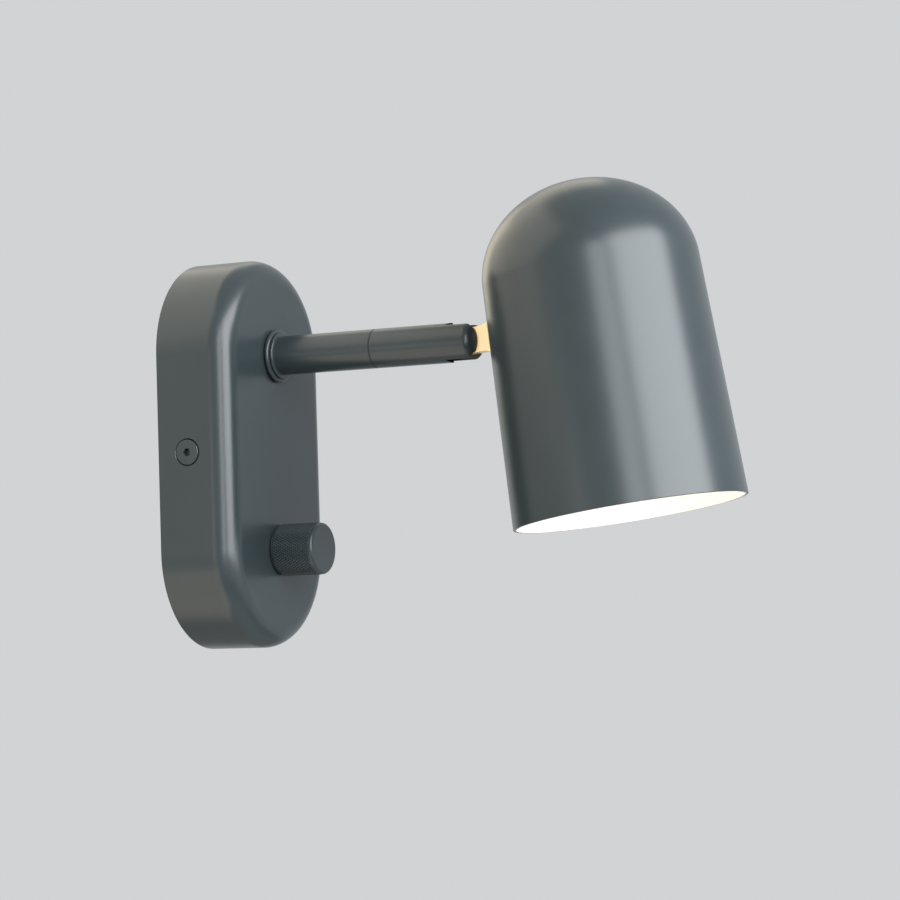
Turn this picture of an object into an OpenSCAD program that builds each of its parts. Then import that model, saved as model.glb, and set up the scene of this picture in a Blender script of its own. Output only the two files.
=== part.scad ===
// Bedside wall reading lamp: a wall housing with a dimmer knob, a two-part
// swivelling arm, and a domed shade that tilts on a brass knuckle.
// Frame: the wall is the plane y = 0, the lamp reaches out along -Y, +Z is up,
// and the origin is the middle of the wall bracket's back face.

/* [Housing] */
// Width of the housing, which is also the diameter of its round ends
housing_w = 80; // [70:1:100]
// Height of the housing
housing_h = 160; // [150:1:200]
// How far the housing's front face stands off the wall
housing_depth = 33; // [31:0.5:45]
// Wall thickness of the cast housing
housing_wall = 3; // [2.8:0.1:4]
// Rounding of the housing's front edge
housing_edge_r = 9; // [5:0.5:12]

/* [Wall bracket] */
// Thickness of the bracket sheet
bracket_t = 2; // [1.5:0.1:2.5]
// Width of the upright strip
bracket_w = 40; // [34:1:50]
// Height of the upright strip
bracket_h = 128; // [110:1:138]
// Height of the cross bar and of its two side tabs
tab_h = 22; // [18:1:26]
// How far the side tabs reach out from the wall
tab_reach = 21; // [19:0.5:24]
// Gap between a side tab and the housing's inner side
tab_gap = 0.2; // [0.1:0.05:0.5]
// Distance between the two wall screw slots
slot_spacing = 100; // [90:1:110]
// Width of a wall screw slot
slot_w = 5; // [4:0.5:6]
// End-to-end length of a wall screw slot
slot_len = 11; // [8:0.5:14]
// Distance of the cable entry below the bracket's middle
cable_down = 11; // [10:0.5:13]
// Clear opening of the cable grommet
cable_d = 9; // [7:0.5:10]

/* [Side screws] */
// Diameter of the countersunk head
side_head_d = 10.2; // [9:0.1:11]
// Height of the head's cone
side_head_h = 2.2; // [1.8:0.1:2.4]
// Straight rim above the cone
side_head_rim = 0.5; // [0.3:0.1:0.6]
// Thread diameter
side_thread_d = 5; // [4:0.5:5]
// Overall length of a side screw
side_screw_l = 11; // [9:0.5:13]
// Hexagon socket, across its flats
side_socket = 3; // [2.5:0.5:3]
// Distance of the screw's axis from the wall
side_screw_out = 13.5; // [12:0.5:14.5]

/* [Arm] */
// Height of the arm's axis above the middle of the housing
arm_up = 40; // [38:0.5:44]
// Diameter of the arm
arm_d = 16; // [15:0.5:20]
// Length of the outer arm from the swivel split to the tilt pin
outer_arm_l = 37.5; // [34:0.5:40]
// Distance of the tilt pin from the wall
pin_out = 118; // [116:0.5:130]
// Distance past the tilt pin at which the arm's nose starts to round
nose_ahead = 4; // [3:0.5:4.5]
// Length of the rounded nose
nose_len = 5.2; // [4.6:0.1:5.6]
// Width of the slot in the nose
slot_gap = 7.4; // [7:0.1:8]
// How far the slot's round root, centred on the tilt pin, cuts past the arm's radius
slot_root_past = 0.8; // [0.7:0.1:1.2]
// Bore of the inner arm and of its threaded stud
arm_bore = 6; // [5:0.5:6.5]
// Diameter of the threaded stud that goes through the housing
stud_d = 10; // [9:0.5:10.5]
// Length of the stud behind the arm's shoulder
stud_l = 13; // [12:0.5:16]

/* [Collar] */
// Diameter of the collar ring at the arm's root
collar_d = 22; // [20:0.5:26]
// Height of its wide bead
collar_bead_h = 1.9; // [1.5:0.1:2.5]
// Diameter of its narrow bead
collar_step_d = 19.4; // [18.4:0.1:21]
// Height of its narrow bead
collar_step_h = 1.3; // [1:0.1:2]
// Height of the shadow gap under the wide bead
collar_gap_h = 0.4; // [0.2:0.1:0.6]

/* [Swivel] */
// Diameter of the hollow spindle
spindle_d = 8; // [7.5:0.25:8.5]
// Bore of the spindle
spindle_bore = 5; // [4.5:0.25:5.5]
// Length of the spindle screwed into the inner arm
spindle_in = 13; // [10:0.5:16]
// Length of the spindle inside the outer arm
spindle_out = 17; // [15:0.5:19]
// Thickness of the friction washer in the split
swivel_washer_t = 0.5; // [0.4:0.1:0.8]
// Diameter of the stop pin
stop_pin_d = 1.6; // [1.4:0.1:1.8]
// Swivel to each side, in degrees
swivel_side = 160; // [150:1:165]

/* [Tilt joint] */
// Diameter of the hinge screw's shoulder
hinge_d = 4; // [3.5:0.25:4.5]
// Diameter of the hinge screw's head
hinge_head_d = 6; // [5.5:0.1:6.5]
// Height of the hinge screw's head
hinge_head_h = 1.4; // [1.2:0.1:1.6]
// Thread of the hinge screw in the near ear
hinge_thread_d = 3; // [2.5:0.25:3]
// Thickness of the two friction washers
hinge_washer_t = 0.5; // [0.4:0.05:0.55]
// Thickness of the brass knuckle between the washers
knuckle_t = 6.2; // [6:0.05:6.2]
// Radius of the knuckle's round end
knuckle_r = 6.2; // [6:0.1:6.4]
// Height of the knuckle's neck
neck_h = 10.2; // [9:0.1:10.4]
// Distance of the neck's middle below the line from pin to foot
neck_drop = 0.5; // [0:0.1:0.6]
// Length of the knuckle from the tilt pin to the shade
knuckle_l = 16.65; // [16:0.05:18]
// Diameter of the knuckle's threaded stud inside the shade
shade_stud_d = 10; // [9:0.5:10]
// Height of the flat foot that the neck flares to
foot_h = 17; // [14:0.5:18]
// Diameter of the round boss on the foot
foot_d = 13; // [12.5:0.25:13.5]
// Distance from the tilt pin at which the foot starts
foot_start = 9.2; // [9:0.1:10]
// Tilt of the shade in the photographed pose, in degrees
shade_tilt = 8; // [0:0.5:12]

/* [Shade] */
// Outer diameter of the rim
shade_d = 92; // [88:0.5:96]
// Height of the shade
shade_h = 132; // [126:1:140]
// Half taper of the side wall, in degrees
shade_taper = 1.9; // [1.5:0.1:2.3]
// Height of the dome as a share of its radius
dome_share = 0.87; // [0.8:0.01:1]
// Sheet thickness of the shade
shade_wall = 1.2; // [1:0.1:1.4]
// Height of the knuckle's entry above the rim
entry_up = 79.5; // [76:0.5:80]

/* [Lamp holder and bulb] */
// Thickness of the inner saddle washer at the stud
saddle_t = 2.2; // [2:0.1:2.4]
// Diameter of the saddle washer
saddle_d = 17; // [16:0.5:18]
// Thickness of the holder bracket
holder_bracket_t = 1.5; // [1:0.1:1.8]
// Width of the holder bracket
holder_bracket_w = 16; // [15:0.5:18]
// Height of the holder bracket's seat above the rim
holder_seat_up = 109; // [107:0.5:110]
// Diameter of the lamp holder
holder_d = 28; // [26:0.5:30]
// Height of the lamp holder
holder_h = 43; // [40:0.5:44]
// Height of the holder's upper half
holder_cap_h = 16; // [14:0.5:18]
// Diameter of the bulb's globe
globe_d = 45; // [40:1:48]
// Overall length of the bulb
bulb_l = 77; // [76:0.5:80]
// Diameter of the bulb's screw cap
bulb_cap_d = 13.6; // [13.2:0.1:14]
// Length of the bulb's screw cap
bulb_cap_l = 18; // [16:0.5:19]

/* [Dimmer] */
// Distance of the dimmer's axis below the middle of the housing
knob_down = 40; // [38:0.5:42]
// Diameter of the knob
knob_d = 21.5; // [20:0.5:24]
// Height of the knob
knob_h = 19.4; // [17:0.1:24]
// Gap between the knob and the housing
knob_gap = 0.6; // [0.4:0.1:1]
// Chamfer on the knob's front edge
knob_chamfer = 0.6; // [0.3:0.1:1]
// Width and height of the dimmer's case
dimmer_w = 38; // [34:1:40]
// Thickness of the dimmer's case
dimmer_t = 14; // [12:0.5:15]
// Diameter of the dimmer's shaft
shaft_d = 6; // [5:0.5:6]
// Diameter of the dimmer's threaded bush
bush_d = 10; // [9:0.5:10]
// Turn of the knob from full light to off, in degrees
knob_turn = 280; // [270:1:300]

/* [Hidden] */
$fn = 96;

// Colours
paint = "#5c6869";
steel = "#b9bcbe";
brass = "#d8b572";
white = "#f3f2ee";
black = "#26282a";
nylon = "#dedbd0";

// Clearances and overrun shared by every piece
thread_gap = 0.05;
run_gap = 0.05;
seat_gap = 0.1;
clear_gap = 0.3;
cut = 1;

// Housing places
cavity_w = housing_w - 2 * housing_wall;
cavity_out = housing_depth - housing_wall;
side_recess_d = side_head_d + 2 * clear_gap;
side_hole_d = side_thread_d + 2 * seat_gap;
side_socket_depth = 1.7;

// Bracket places
tab_x = cavity_w / 2 - tab_gap;
tab_nut_d = 9;
tab_nut_l = 4;
grommet_wall = 1.5;
grommet_lip_w = 1.5;
grommet_lip_t = 1.5;
grommet_neck_d = cable_d + 2 * grommet_wall;
grommet_lip_d = grommet_neck_d + 2 * grommet_lip_w;
earth_x = 12;
earth_up = 42;
earth_thread_d = 4;
earth_head_d = 8;
earth_head_h = 3;
earth_tag_t = 0.8;
earth_tag_d = 9;
block_w = 30;
block_h = 16;
block_out = 13;
block_up = 14;
block_pole = 10;
block_screw_d = 3;
block_head_d = 5.2;
block_head_h = 2;
pole_screw_d = 3;
pole_wire_d = 3;
screw_slot_w = 0.8;
screw_slot_depth = 0.7;

// Arm places, along the arm's axis from the wall
collar_h = collar_gap_h + collar_bead_h + collar_step_h;
shoulder_out = housing_depth + collar_h;
stud_end = shoulder_out - stud_l;
split_out = pin_out - outer_arm_l;
outer_start = split_out;
inner_end = split_out - swivel_washer_t;
arm_nut_t = 3;
arm_washer_t = 1;
arm_washer_d = 18;
stud_hole_d = stud_d + 2 * seat_gap;
nut_flats_share = 1.4;
collar_neck_d = collar_step_d - 2 * collar_gap_h;
spindle_end = outer_start + spindle_out;
spindle_hole_d = spindle_d + 2 * run_gap;
ring_back = 7;
ring_w = 1.4;
ring_rise = 0.9;
ring_depth = 0.6;
stop_r = (spindle_d / 2 + arm_d / 2) / 2;
stop_pin_reach = 1.4;
stop_groove_w = stop_pin_d + 2 * clear_gap;
stop_groove_depth = stop_pin_reach + clear_gap;
stop_pin_in = 4;
stop_margin = 3;
nose_start = pin_out + nose_ahead;
wire_bore = 7;
slot_root_r = arm_d / 2 + slot_root_past;

// Tilt joint places
tongue_pitch = shade_tilt - shade_taper;
ear_x = slot_gap / 2;
hinge_head_floor = 1.8;
hinge_head_x = ear_x + hinge_head_floor;
hinge_thread_l = 2.6;
hinge_washer_inset = 0.5;
hinge_washer_d = 2 * (knuckle_r - hinge_washer_inset);
hinge_socket = 2;
hinge_socket_depth = 1;
pocket_w = 3.8;
boss_wall = 0.9;
boss_r = hinge_d / 2 + boss_wall;
pocket_front = 5.4;
neck_bore = 4.2;
foot_lip = 1;

// Shade places, in its own frame with the rim at z = 0
entry_r = shade_d / 2 - entry_up * tan(shade_taper);
dome_out = dome_size(shade_d / 2, shade_h);
dome_in = dome_size(shade_d / 2 - shade_wall / cos(shade_taper), shade_h - shade_wall);
shade_hole_d = shade_stud_d + 2 * seat_gap;
flange_a = knuckle_l + shade_wall + saddle_t;
stud_nut_t = 3.5;
stud_past = 1.5;
knuckle_stud_end = flange_a + holder_bracket_t + stud_nut_t + stud_past;
knuckle_stud_bore = 5;
flange_below = 9;
flange_above = 22;
holder_reach = 11;
holder_bend_r = 30;
holder_nut_t = 3;
holder_nipple_d = 8;
holder_nipple_bore = 5;
holder_top = holder_seat_up;
holder_mid = holder_top - holder_cap_h;
holder_rim = holder_top - holder_h;
holder_t = 1.8;
holder_roof_t = 3;
holder_shell_t = 0.4;
holder_shell_gap = 0.2;
holder_shell_d = bulb_cap_d + 2 * (holder_shell_gap + holder_shell_t);
lead_hole_d = 5;
lead_hole_up = 8;

// Bulb places, along the shade's axis
bulb_seat_up = 24;
bulb_top = holder_rim + bulb_seat_up;
bulb_bottom = bulb_top - bulb_l;
tip_d = 5;
tip_h = 1.6;
insulator_h = 3;
cap_top = bulb_top - tip_h - insulator_h;
cap_bottom = cap_top - bulb_cap_l;
globe_up = bulb_bottom + globe_d / 2;
globe_cut = 15;
globe_t = 1.2;
bulb_lip = 1.7;
bulb_collar_d = bulb_cap_d + 2 * bulb_lip;
holder_mouth_gap = 1;
holder_mouth_d = bulb_collar_d + 2 * holder_mouth_gap;
board_r = sqrt(pow(globe_d / 2 - globe_t, 2) - pow(globe_cut, 2)) - seat_gap;
board_t = 1.6;
led_w = 2.8;
led_t = 0.7;
led_ring_share = 0.66;
led_count = 8;

// Dimmer places
dimmer_face = cavity_out;
bush_past = 5;
bush_end = housing_depth + bush_past;
knob_out = housing_depth + knob_gap + knob_h;
knob_face_t = 3.5;
dimmer_washer_d = 15;
dimmer_washer_t = 0.8;
dimmer_nut_t = 2.6;
shaft_in = 9;
shaft_end = knob_out - knob_face_t;
shaft_flat = 1.2;
shaft_fit = 0.02;
knob_recess_d = 17.4;
knob_recess_top = bush_end + clear_gap;

// Leads
lead_d = 1.5;
lead_x = 0.85;
lead_sides = 8;
lead_steps = 4;
lead_gap = 0.15;
lead_wrap_r = boss_r + lead_d / 2 + lead_gap;

// Radius and centre height of an elliptical dome that meets the tapered wall smoothly
function dome_size(rim_r, top) =
    let (slope = tan(shade_taper))
    let (k0 = atan(dome_share * slope))
    let (a = (rim_r - slope * top) / (cos(k0) - slope * dome_share * (1 - sin(k0))))
    [a, top - a * dome_share, k0];

// Points of a shade outline from the rim up to the axis
function shell_points(rim_r, dome, steps) = concat(
    [[rim_r, 0]],
    [for (i = [0:steps])
        let (k = dome[2] + (90 - dome[2]) * i / steps)
        [dome[0] * cos(k), dome[1] + dome[0] * dome_share * sin(k)]]
);

// Smooth curve through points, and the tube that follows it
function unit(v) = v / norm(v);
function blend(a, b, c, d, t) = 0.5 * (
    2 * b + (c - a) * t + (2 * a - 5 * b + 4 * c - d) * t * t
    + (3 * b - 3 * c + d - a) * t * t * t
);
function smooth(p) = concat(
    [for (i = [0:len(p) - 2]) for (k = [0:lead_steps - 1])
        blend(p[max(i - 1, 0)], p[i], p[i + 1], p[min(i + 2, len(p) - 1)], k / lead_steps)],
    [p[len(p) - 1]]
);
function heading(p, i, first, last) =
    i == 0 ? first : i == len(p) - 1 ? last : unit(p[i + 1] - p[i - 1]);

module tube(points, d, side = [1, 0, 0]) {
    path = smooth(points);
    n = len(path);
    m = lead_sides;
    first = unit(points[1] - points[0]);
    last = unit(points[len(points) - 1] - points[len(points) - 2]);
    rings = [for (i = [0:n - 1])
        let (t = heading(path, i, first, last))
        let (u = unit(side - (side * t) * t))
        let (v = cross(t, u))
        for (k = [0:m - 1])
            path[i] + d / 2 * (cos(360 * k / m) * u + sin(360 * k / m) * v)];
    walls = [for (i = [0:n - 2]) for (k = [0:m - 1])
        let (a = i * m + k)
        let (b = i * m + (k + 1) % m)
        for (f = [[a, b + m, b], [a, a + m, b + m]]) f];
    start = [for (k = [1:m - 2]) [0, k, k + 1]];
    end = [for (k = [1:m - 2]) [(n - 1) * m, (n - 1) * m + k + 1, (n - 1) * m + k]];
    polyhedron(points = rings, faces = concat(walls, start, end));
}

// Frames: x across, y up, z out from the wall or along the arm
module wall_frame() {
    rotate([90, 0, 0]) children();
}

module arm_frame() {
    translate([0, 0, arm_up]) rotate([90, 0, 0]) children();
}

module dimmer_frame() {
    translate([0, 0, -knob_down]) rotate([90, 0, 0]) children();
}

// Knuckle frame: the tilt pin is the origin and z points at the shade
module knuckle_frame() {
    arm_frame() translate([0, 0, pin_out]) rotate([-tongue_pitch, 0, 0]) children();
}

// Shade frame: z is the shade's axis, upward from the rim, and +y faces the arm
module shade_frame() {
    knuckle_frame() translate([0, 0, knuckle_l])
        rotate([-90 - shade_taper, 0, 0])
        translate([0, -entry_r, -entry_up]) children();
}

// Extrudes a flat shape, drawn as (along z, along y), across x
module across(t) {
    rotate([0, -90, 0]) linear_extrude(t, center = true) children();
}

module rod(d, from, to) {
    translate([0, 0, from]) cylinder(d = d, h = to - from);
}

module sleeve(d, bore, from, to) {
    difference() {
        rod(d, from, to);
        rod(bore, from - cut, to + cut);
    }
}

module hexagon(flats, from, to) {
    translate([0, 0, from]) cylinder(d = flats / cos(30), h = to - from, $fn = 6);
}

// Screw along z with its head's top at z = 0 and a driver slot
module slotted_screw(head_d, head_h, thread_d, l) {
    difference() {
        union() {
            rod(head_d, -head_h, 0);
            rod(thread_d, -head_h - l, -head_h);
        }
        translate([-head_d, -screw_slot_w / 2, -screw_slot_depth])
            cube([2 * head_d, screw_slot_w, screw_slot_depth + cut]);
    }
}

// Housing

module edge_profile(half, depth, r) {
    square([half, depth - r]);
    square([half - r, depth]);
    translate([half - r, depth - r]) circle(r);
}

module stadium_puck(w, h, depth, r) {
    run = h - w;
    translate([0, run / 2, 0]) rotate_extrude(angle = 180) edge_profile(w / 2, depth, r);
    translate([0, -run / 2, 0]) rotate([0, 0, 180])
        rotate_extrude(angle = 180) edge_profile(w / 2, depth, r);
    translate([0, run / 2, 0]) rotate([90, 0, 0]) linear_extrude(run) {
        edge_profile(w / 2, depth, r);
        mirror([1, 0]) edge_profile(w / 2, depth, r);
    }
}

// The cone of the recess matches the screw head that seats in it
module side_screw_space() {
    rod(side_recess_d, -side_head_rim - seat_gap, cut);
    translate([0, 0, -side_head_rim - seat_gap - side_head_h])
        cylinder(d1 = side_hole_d, d2 = side_recess_d, h = side_head_h);
    rod(side_hole_d, -housing_wall - cut, 0);
}

module at_side_screws() {
    for (side = [0, 1]) mirror([side, 0, 0])
        translate([-housing_w / 2, 0, side_screw_out]) rotate([0, -90, 0]) children();
}

module housing() {
    color(paint) wall_frame() difference() {
        stadium_puck(housing_w, housing_h, housing_depth, housing_edge_r);
        translate([0, 0, -cut]) stadium_puck(cavity_w, housing_h - 2 * housing_wall,
            cavity_out + cut, housing_edge_r - housing_wall);
        translate([0, arm_up, 0]) rod(stud_hole_d, cavity_out - cut, housing_depth + cut);
        translate([0, -knob_down, 0])
            rod(bush_d + 2 * seat_gap, cavity_out - cut, housing_depth + cut);
        at_side_screws() side_screw_space();
    }
}

module side_screws() {
    color(paint) wall_frame() at_side_screws() difference() {
        union() {
            rod(side_head_d, -side_head_rim, 0);
            translate([0, 0, -side_head_rim - side_head_h])
                cylinder(d1 = side_thread_d, d2 = side_head_d, h = side_head_h);
            rod(side_thread_d, -side_screw_l, -side_head_rim - side_head_h);
        }
        hexagon(side_socket, -side_socket_depth, cut);
    }
}

// Wall bracket and what it carries

module wall_slot() {
    linear_extrude(3 * bracket_t, center = true) {
        for (end = [-1, 1]) translate([0, end * (slot_len - slot_w) / 2]) circle(d = slot_w);
        square([slot_w, slot_len - slot_w], center = true);
    }
}

module wall_bracket() {
    color(steel) wall_frame() difference() {
        union() {
            translate([-bracket_w / 2, -bracket_h / 2, 0]) cube([bracket_w, bracket_h, bracket_t]);
            translate([-tab_x, -tab_h / 2, 0]) cube([2 * tab_x, tab_h, bracket_t]);
            for (side = [0, 1]) mirror([side, 0, 0])
                translate([-tab_x, -tab_h / 2, 0]) cube([bracket_t, tab_h, tab_reach]);
        }
        for (side = [-1, 1]) translate([0, side * slot_spacing / 2, 0]) wall_slot();
        translate([0, -cable_down, 0]) rod(grommet_neck_d, -cut, bracket_t + cut);
        translate([earth_x, earth_up, 0]) rod(earth_thread_d, -cut, bracket_t + cut);
        translate([0, block_up, 0]) rod(block_screw_d, -cut, bracket_t + cut);
        for (side = [-1, 1]) translate([side * tab_x, 0, side_screw_out]) rotate([0, 90, 0])
            cylinder(d = side_thread_d + 2 * seat_gap, h = 3 * bracket_t, center = true);
    }
}

// Clinch nuts behind the side tabs
module tab_nuts() {
    color(steel) wall_frame() for (side = [0, 1]) mirror([side, 0, 0])
        translate([-tab_x + bracket_t, 0, side_screw_out]) rotate([0, 90, 0])
            sleeve(tab_nut_d, side_thread_d + 2 * thread_gap, 0, tab_nut_l);
}

module cable_grommet() {
    color(black) wall_frame() translate([0, -cable_down, 0]) difference() {
        union() {
            rod(grommet_neck_d - 2 * seat_gap, 0, bracket_t);
            rod(grommet_lip_d, bracket_t, bracket_t + grommet_lip_t);
        }
        rod(cable_d, -cut, bracket_t + grommet_lip_t + cut);
    }
}

module earth_screw() {
    top = bracket_t + earth_tag_t + earth_head_h;
    color(brass) wall_frame() translate([earth_x, earth_up, top])
        slotted_screw(earth_head_d, earth_head_h, earth_thread_d - 2 * thread_gap,
            top - earth_head_h);
}

module terminal_block() {
    color(white) wall_frame() translate([0, block_up, bracket_t]) difference() {
        translate([-block_w / 2, -block_h / 2, 0]) cube([block_w, block_h, block_out]);
        for (pole = [-1, 1]) translate([pole * block_pole, 0, block_out / 2])
            rotate([90, 0, 0]) cylinder(d = pole_wire_d, h = 2 * block_h, center = true);
        for (pole = [-1, 1], row = [-1, 1])
            translate([pole * block_pole, row * block_h / 4, 0])
                rod(pole_screw_d + 2 * thread_gap, block_out / 2, block_out + cut);
        rod(block_screw_d + 2 * seat_gap, -cut, block_out + cut);
        rod(block_head_d + 2 * clear_gap, block_out / 2 + pole_wire_d, block_out + cut);
    }
}

module terminal_screws() {
    color(brass) wall_frame() translate([0, block_up, bracket_t])
        for (pole = [-1, 1], row = [-1, 1])
            translate([pole * block_pole, row * block_h / 4, block_out - clear_gap])
                slotted_screw(pole_screw_d, screw_slot_depth + clear_gap, pole_screw_d,
                    block_out / 2 - lead_d / 2 - screw_slot_depth - 3 * clear_gap);
}

module block_screw() {
    top = bracket_t + block_out / 2 + pole_wire_d + block_head_h;
    color(steel) wall_frame() translate([0, block_up, top])
        slotted_screw(block_head_d, block_head_h, block_screw_d - 2 * thread_gap,
            top - block_head_h);
}

// Dimmer

module dimmer_case() {
    color(black) dimmer_frame() difference() {
        union() {
            translate([-dimmer_w / 2, -dimmer_w / 2, dimmer_face - dimmer_t])
                cube([dimmer_w, dimmer_w, dimmer_t]);
            rod(bush_d, dimmer_face, bush_end);
        }
        rod(shaft_d + 2 * run_gap, dimmer_face - shaft_in - clear_gap, bush_end + cut);
    }
}

module dimmer_washer() {
    color(steel) dimmer_frame() sleeve(dimmer_washer_d, bush_d + 2 * thread_gap,
        housing_depth, housing_depth + dimmer_washer_t);
}

module dimmer_nut() {
    start = housing_depth + dimmer_washer_t;
    color(steel) dimmer_frame() difference() {
        hexagon(nut_flats_share * bush_d, start, start + dimmer_nut_t);
        rod(bush_d + 2 * thread_gap, start - cut, start + dimmer_nut_t + cut);
    }
}

module dimmer_shaft() {
    color(steel) dimmer_frame() difference() {
        rod(shaft_d, dimmer_face - shaft_in, shaft_end);
        translate([-shaft_d, shaft_d / 2 - shaft_flat, bush_end + clear_gap])
            cube([2 * shaft_d, shaft_d, knob_out]);
    }
}

module knob() {
    knob_start = housing_depth + knob_gap;
    bore_d = shaft_d + 2 * shaft_fit;
    color(paint) dimmer_frame() difference() {
        union() {
            rod(knob_d, knob_start, knob_out - knob_chamfer);
            translate([0, 0, knob_out - knob_chamfer])
                cylinder(d1 = knob_d, d2 = knob_d - 2 * knob_chamfer, h = knob_chamfer);
        }
        rod(knob_recess_d, knob_start - cut, knob_recess_top);
        difference() {
            rod(bore_d, knob_start, shaft_end + clear_gap);
            translate([-shaft_d, shaft_d / 2 - shaft_flat + shaft_fit, bush_end])
                cube([2 * shaft_d, shaft_d, knob_out]);
        }
    }
}

// Arm

// Half section of a collar bead: a flat disc with a round edge
module bead(d, h, start) {
    translate([0, start]) square([(d - h) / 2, h]);
    translate([(d - h) / 2, start + h / 2]) circle(d = h);
}

module arm_collar() {
    color(paint) arm_frame() translate([0, 0, housing_depth]) difference() {
        rotate_extrude() {
            square([collar_neck_d / 2, collar_h - collar_step_h]);
            bead(collar_d, collar_bead_h, collar_gap_h);
            bead(collar_step_d, collar_step_h, collar_h - collar_step_h);
        }
        rod(stud_hole_d, -cut, collar_h + cut);
    }
}

module inner_arm() {
    color(paint) arm_frame() difference() {
        union() {
            rod(arm_d, shoulder_out, inner_end);
            rod(stud_d, stud_end, shoulder_out);
        }
        rod(arm_bore, stud_end - cut, inner_end + cut);
        rod(spindle_d + 2 * thread_gap, inner_end - spindle_in, inner_end + cut);
        translate([0, -stop_r, 0])
            rod(stop_pin_d + 2 * thread_gap, inner_end - stop_pin_in, inner_end + cut);
    }
}

module arm_washer() {
    color(steel) arm_frame() sleeve(arm_washer_d, stud_d + 2 * thread_gap,
        cavity_out - arm_washer_t, cavity_out);
}

module arm_nut() {
    top = cavity_out - arm_washer_t - earth_tag_t;
    color(brass) arm_frame() difference() {
        hexagon(nut_flats_share * stud_d, top - arm_nut_t, top);
        rod(stud_d + 2 * thread_gap, top - arm_nut_t - cut, top + cut);
    }
}

module swivel_spindle() {
    groove = outer_start + ring_back;
    color(brass) arm_frame() difference() {
        rod(spindle_d, inner_end - spindle_in, spindle_end);
        rod(spindle_bore, inner_end - spindle_in - cut, spindle_end + cut);
        difference() {
            rod(spindle_d + cut, groove - seat_gap, groove + ring_w + seat_gap);
            rod(spindle_d - 2 * ring_depth - 2 * run_gap, 0, spindle_end);
        }
    }
}

module swivel_washer() {
    color(black) arm_frame() difference() {
        sleeve(arm_d - 2 * seat_gap, spindle_hole_d, inner_end, outer_start);
        translate([0, -stop_r, 0])
            rod(stop_pin_d + 2 * thread_gap, inner_end - cut, outer_start + cut);
    }
}

module stop_pin() {
    color(steel) arm_frame() translate([0, -stop_r, 0])
        rod(stop_pin_d, inner_end - stop_pin_in, outer_start + stop_pin_reach);
}

// Split spring ring that snaps into the outer arm and keeps it on the spindle
module swivel_ring() {
    start = outer_start + ring_back;
    outer = spindle_d / 2 + ring_rise;
    inner = spindle_d / 2 - ring_depth + run_gap;
    gap_angle = 24;
    color(steel) arm_frame() translate([0, 0, start]) rotate([0, 0, 90 + gap_angle / 2])
        rotate_extrude(angle = 360 - gap_angle) translate([inner, 0])
            square([outer - inner, ring_w]);
}

module nose() {
    r = arm_d / 2;
    rotate_extrude() polygon(concat([[0, 0]],
        [for (k = [0:5:85]) [r * cos(k), nose_len * sin(k)]], [[0, nose_len]]));
}

module outer_arm() {
    groove = outer_start + ring_back;
    stop_angle = swivel_side + stop_margin + asin(stop_pin_d / 2 / stop_r);
    color(paint) arm_frame() difference() {
        union() {
            rod(arm_d, outer_start, nose_start);
            translate([0, 0, nose_start]) nose();
        }
        rod(spindle_hole_d, outer_start - cut, spindle_end + clear_gap);
        rod(wire_bore, outer_start, pin_out);
        difference() {
            rod(spindle_d + 2 * ring_rise + 2 * seat_gap, groove - seat_gap,
                groove + ring_w + seat_gap);
            rod(spindle_d, 0, spindle_end);
        }
        // Round groove in the end face that the stop pin runs in
        translate([0, 0, outer_start - cut]) rotate([0, 0, -90 - stop_angle])
            rotate_extrude(angle = 2 * stop_angle) translate([stop_r - stop_groove_w / 2, 0])
                square([stop_groove_w, stop_groove_depth + cut]);
        // Slot between the ears
        across(slot_gap) {
            translate([pin_out, 0]) circle(slot_root_r);
            translate([pin_out, -arm_d])
                square([nose_ahead + nose_len + cut, 2 * arm_d]);
        }
        // Hinge screw: head recess and hole in the far ear, thread in the near ear
        translate([0, 0, pin_out]) rotate([0, 90, 0]) {
            rod(hinge_head_d + 2 * clear_gap, hinge_head_x, arm_d);
            rod(hinge_d + 2 * run_gap, 0, arm_d);
            rod(hinge_thread_d + 2 * thread_gap, -ear_x - hinge_thread_l - clear_gap, 0);
        }
    }
}

module hinge_screw() {
    color(steel) arm_frame() translate([0, 0, pin_out]) rotate([0, 90, 0]) difference() {
        union() {
            rod(hinge_head_d, hinge_head_x, hinge_head_x + hinge_head_h);
            rod(hinge_d, -ear_x, hinge_head_x);
            rod(hinge_thread_d, -ear_x - hinge_thread_l, -ear_x);
        }
        hexagon(hinge_socket, hinge_head_x + hinge_head_h - hinge_socket_depth,
            hinge_head_x + hinge_head_h + cut);
    }
}

module hinge_washers() {
    room = ear_x - knuckle_t / 2;
    from = knuckle_t / 2 + (room - hinge_washer_t) / 2;
    color(nylon) arm_frame() translate([0, 0, pin_out]) for (side = [0, 1])
        mirror([side, 0, 0]) rotate([0, 90, 0])
            sleeve(hinge_washer_d, hinge_d + 2 * run_gap, from, from + hinge_washer_t);
}

// Brass knuckle: the disc and neck in the slot, and a flared foot with a hollow stud

module knuckle_foot() {
    neck_top = neck_h / 2 - neck_drop;
    neck_low = -neck_h / 2 - neck_drop;
    flared = knuckle_l - foot_lip;
    end = knuckle_l + foot_lip;
    across(knuckle_t) polygon([
        [0, neck_top], [foot_start, neck_top], [flared, foot_h / 2], [end, foot_h / 2],
        [end, -foot_h / 2], [flared, -foot_h / 2], [foot_start, neck_low], [0, neck_low]
    ]);
    rod(foot_d, flared, end);
}

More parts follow.
